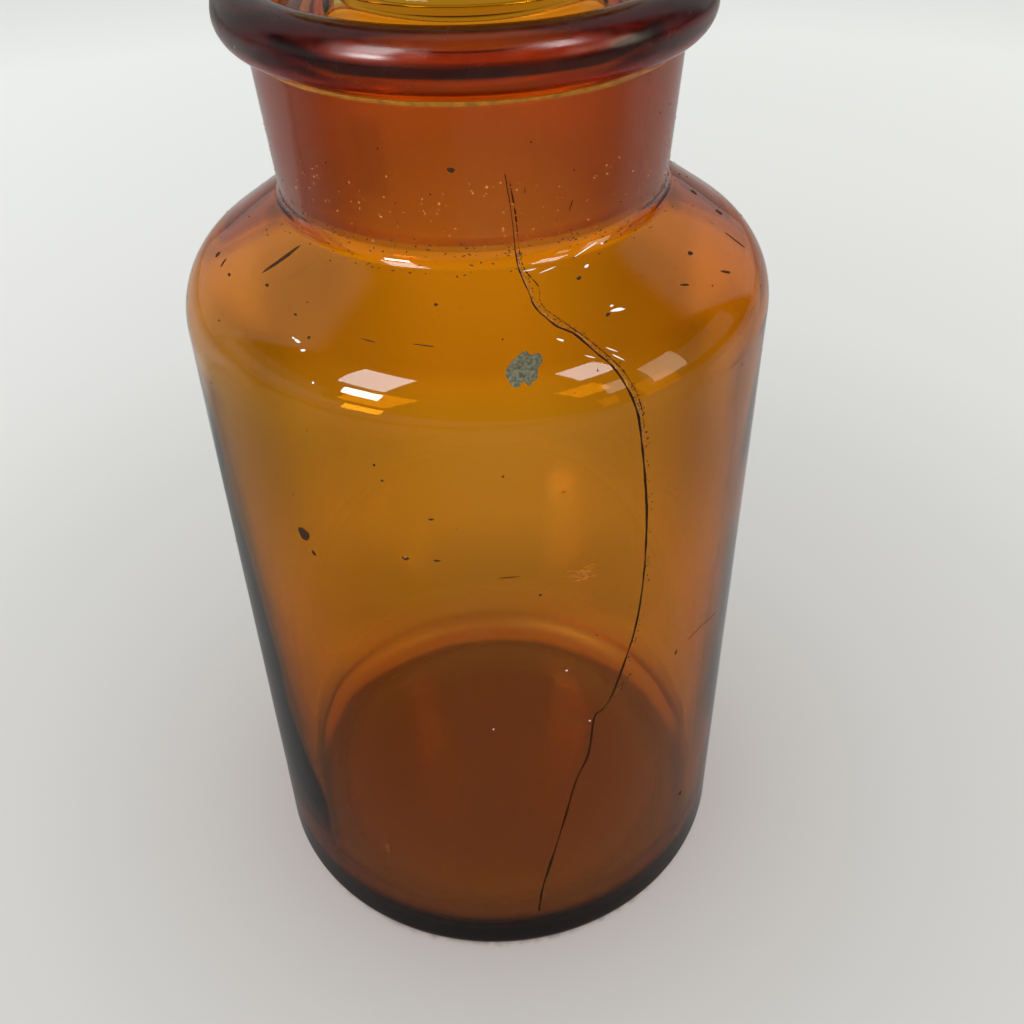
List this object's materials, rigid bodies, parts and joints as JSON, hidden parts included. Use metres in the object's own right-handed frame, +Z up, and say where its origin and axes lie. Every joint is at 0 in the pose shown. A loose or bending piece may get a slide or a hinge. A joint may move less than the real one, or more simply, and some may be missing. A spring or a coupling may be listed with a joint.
{
  "type": "reagent bottle",
  "caption": "Wide-mouth amber glass reagent bottle, with a straight round body, sloping shoulder, short neck with a beaded lip, and a hollow ground-glass stopper that lifts out.",
  "frame": {"origin": "centre of the foot ring, on the surface that the bottle stands on", "axes": "+Z up along the axis of the body, neck and stopper; the shape is round, so +X and +Y are free, and the crack in the wall faces -Y"},
  "size_m": [0.082, 0.082, 0.1651],
  "materials": {
    "bottle_glass": "glossy amber glass, aged, with fine scratches and a dried residue",
    "stopper_glass": "glossy amber glass with a frosted ground face"
  },
  "bodies": {
    "bottle": {"bottle": "bottle_glass"},
    "stopper": {"stopper": "stopper_glass"}
  },
  "joints": [
    {"name": "stopper_lift", "type": "slide", "parent": "bottle", "child": "stopper", "axis": [0, 0, 1], "range_m": [0, 0.06]}
  ]
}
